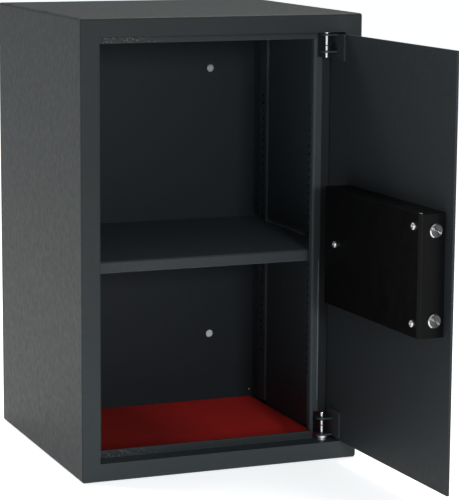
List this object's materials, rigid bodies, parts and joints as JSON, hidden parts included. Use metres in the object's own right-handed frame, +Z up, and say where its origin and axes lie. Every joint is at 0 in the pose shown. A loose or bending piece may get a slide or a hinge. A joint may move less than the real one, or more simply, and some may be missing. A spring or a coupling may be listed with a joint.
{
  "type": "in-room safe",
  "caption": "Floor-standing electronic in-room safe with a hinged steel door, twin round lock bolts, a keypad and knob, an adjustable shelf and a red felt floor mat.",
  "frame": {"origin": "middle of the cabinet's base, on the surface that it stands on", "axes": "+Z up; the front faces -Y; the door hinges on the +X side and stands open at rest"},
  "size_m": [0.371, 0.6008, 0.54],
  "materials": {
    "powder_coat": "grey powder coat, fine texture",
    "door_coat": "dark grey powder coat, fine texture",
    "lock_black": "satin black enamel",
    "polished_steel": "bright plated",
    "zinc_steel": "zinc plated",
    "felt": "dark red felt",
    "black_plastic": "fine moulded texture",
    "key_plastic": "satin",
    "window": "gloss smoked",
    "board_green": "solder mask",
    "component_black": "matt",
    "cell_wrap": "gloss sleeve",
    "motor_steel": "satin"
  },
  "bodies": {
    "cabinet": {"cabinet_shell": "powder_coat", "back_panel": "door_coat", "door_jamb": "door_coat", "hinge_side_baffle": "door_coat", "upright_front_left": "door_coat", "upright_rear_left": "door_coat", "upright_front_right": "door_coat", "upright_rear_right": "door_coat", "shelf_clips": "zinc_steel", "floor_mat": "felt", "upper_hinge_bush": "zinc_steel", "lower_hinge_bush": "polished_steel"},
    "shelf": {"shelf": "door_coat"},
    "door": {"door_plate": "door_coat", "upper_hinge_bracket": "door_coat", "lower_hinge_bracket": "door_coat", "upper_hinge_pin": "polished_steel", "lower_hinge_pin": "polished_steel", "lock_cover": "lock_black", "cover_screws": "polished_steel", "cover_post": "zinc_steel", "bolt_guide": "zinc_steel", "guide_post": "zinc_steel", "guide_post_clip": "zinc_steel", "lock_motor": "motor_steel", "motor_bracket": "zinc_steel", "circuit_board": "board_green", "board_components": "component_black", "board_spacers": "black_plastic", "battery_holder": "black_plastic", "batteries": "cell_wrap", "keypad_bezel": "black_plastic", "display_window": "window", "override_lock_body": "polished_steel"},
    "bolts": {"upper_bolt": "polished_steel", "lower_bolt": "polished_steel", "bolt_carriage": "zinc_steel"},
    "knob": {"knob": "black_plastic", "knob_spindle": "zinc_steel", "spindle_crank": "zinc_steel"},
    "blocking_cam": {"blocking_cam": "zinc_steel"},
    "override_plug": {"override_plug": "polished_steel", "override_lever": "zinc_steel"},
    "key_1": {"key_1": "key_plastic"},
    "key_2": {"key_2": "key_plastic"},
    "key_3": {"key_3": "key_plastic"},
    "key_4": {"key_4": "key_plastic"},
    "key_5": {"key_5": "key_plastic"},
    "key_6": {"key_6": "key_plastic"},
    "key_7": {"key_7": "key_plastic"},
    "key_8": {"key_8": "key_plastic"},
    "key_9": {"key_9": "key_plastic"},
    "key_clear": {"key_clear": "key_plastic"},
    "key_0": {"key_0": "key_plastic"},
    "key_lock": {"key_lock": "key_plastic"}
  },
  "joints": [
    {"name": "door_swing", "type": "hinge", "parent": "cabinet", "child": "door", "pos_m": [0.136, -0.1494, 0.27], "axis": [0, 0, 1], "range_deg": [-92, 0]},
    {"name": "shelf_lift", "type": "slide", "parent": "cabinet", "child": "shelf", "axis": [0, 0, 1], "range_m": [0, 0.25]},
    {"name": "bolt_throw", "type": "slide", "parent": "door", "child": "bolts", "axis": [0.0349, -0.9994, 0], "range_m": [0, 0.022]},
    {"name": "knob_turn", "type": "hinge", "parent": "door", "child": "knob", "pos_m": [0.15815, -0.33674, 0.27], "axis": [0.9994, 0.0349, 0], "range_deg": [0, 90]},
    {"name": "blocking_cam_turn", "type": "hinge", "parent": "door", "child": "blocking_cam", "pos_m": [0.14357, -0.36327, 0.303], "axis": [-0.9994, -0.0349, 0], "range_deg": [0, 90]},
    {"name": "override_turn", "type": "hinge", "parent": "door", "child": "override_plug", "pos_m": [0.15662, -0.29277, 0.234], "axis": [-0.9994, -0.0349, 0], "range_deg": [0, 90]},
    {"name": "key_1_press", "type": "slide", "parent": "door", "child": "key_1", "axis": [-0.9994, -0.0349, 0], "range_m": [0, 0.001], "stiffness_N_per_m": 300},
    {"name": "key_2_press", "type": "slide", "parent": "door", "child": "key_2", "axis": [-0.9994, -0.0349, 0], "range_m": [0, 0.001], "stiffness_N_per_m": 300},
    {"name": "key_3_press", "type": "slide", "parent": "door", "child": "key_3", "axis": [-0.9994, -0.0349, 0], "range_m": [0, 0.001], "stiffness_N_per_m": 300},
    {"name": "key_4_press", "type": "slide", "parent": "door", "child": "key_4", "axis": [-0.9994, -0.0349, 0], "range_m": [0, 0.001], "stiffness_N_per_m": 300},
    {"name": "key_5_press", "type": "slide", "parent": "door", "child": "key_5", "axis": [-0.9994, -0.0349, 0], "range_m": [0, 0.001], "stiffness_N_per_m": 300},
    {"name": "key_6_press", "type": "slide", "parent": "door", "child": "key_6", "axis": [-0.9994, -0.0349, 0], "range_m": [0, 0.001], "stiffness_N_per_m": 300},
    {"name": "key_7_press", "type": "slide", "parent": "door", "child": "key_7", "axis": [-0.9994, -0.0349, 0], "range_m": [0, 0.001], "stiffness_N_per_m": 300},
    {"name": "key_8_press", "type": "slide", "parent": "door", "child": "key_8", "axis": [-0.9994, -0.0349, 0], "range_m": [0, 0.001], "stiffness_N_per_m": 300},
    {"name": "key_9_press", "type": "slide", "parent": "door", "child": "key_9", "axis": [-0.9994, -0.0349, 0], "range_m": [0, 0.001], "stiffness_N_per_m": 300},
    {"name": "key_clear_press", "type": "slide", "parent": "door", "child": "key_clear", "axis": [-0.9994, -0.0349, 0], "range_m": [0, 0.001], "stiffness_N_per_m": 300},
    {"name": "key_0_press", "type": "slide", "parent": "door", "child": "key_0", "axis": [-0.9994, -0.0349, 0], "range_m": [0, 0.001], "stiffness_N_per_m": 300},
    {"name": "key_lock_press", "type": "slide", "parent": "door", "child": "key_lock", "axis": [-0.9994, -0.0349, 0], "range_m": [0, 0.001], "stiffness_N_per_m": 300}
  ],
  "couplings": [
    {"joint": "knob_turn", "follows": "bolt_throw", "rad_per_m": 71.399}
  ]
}
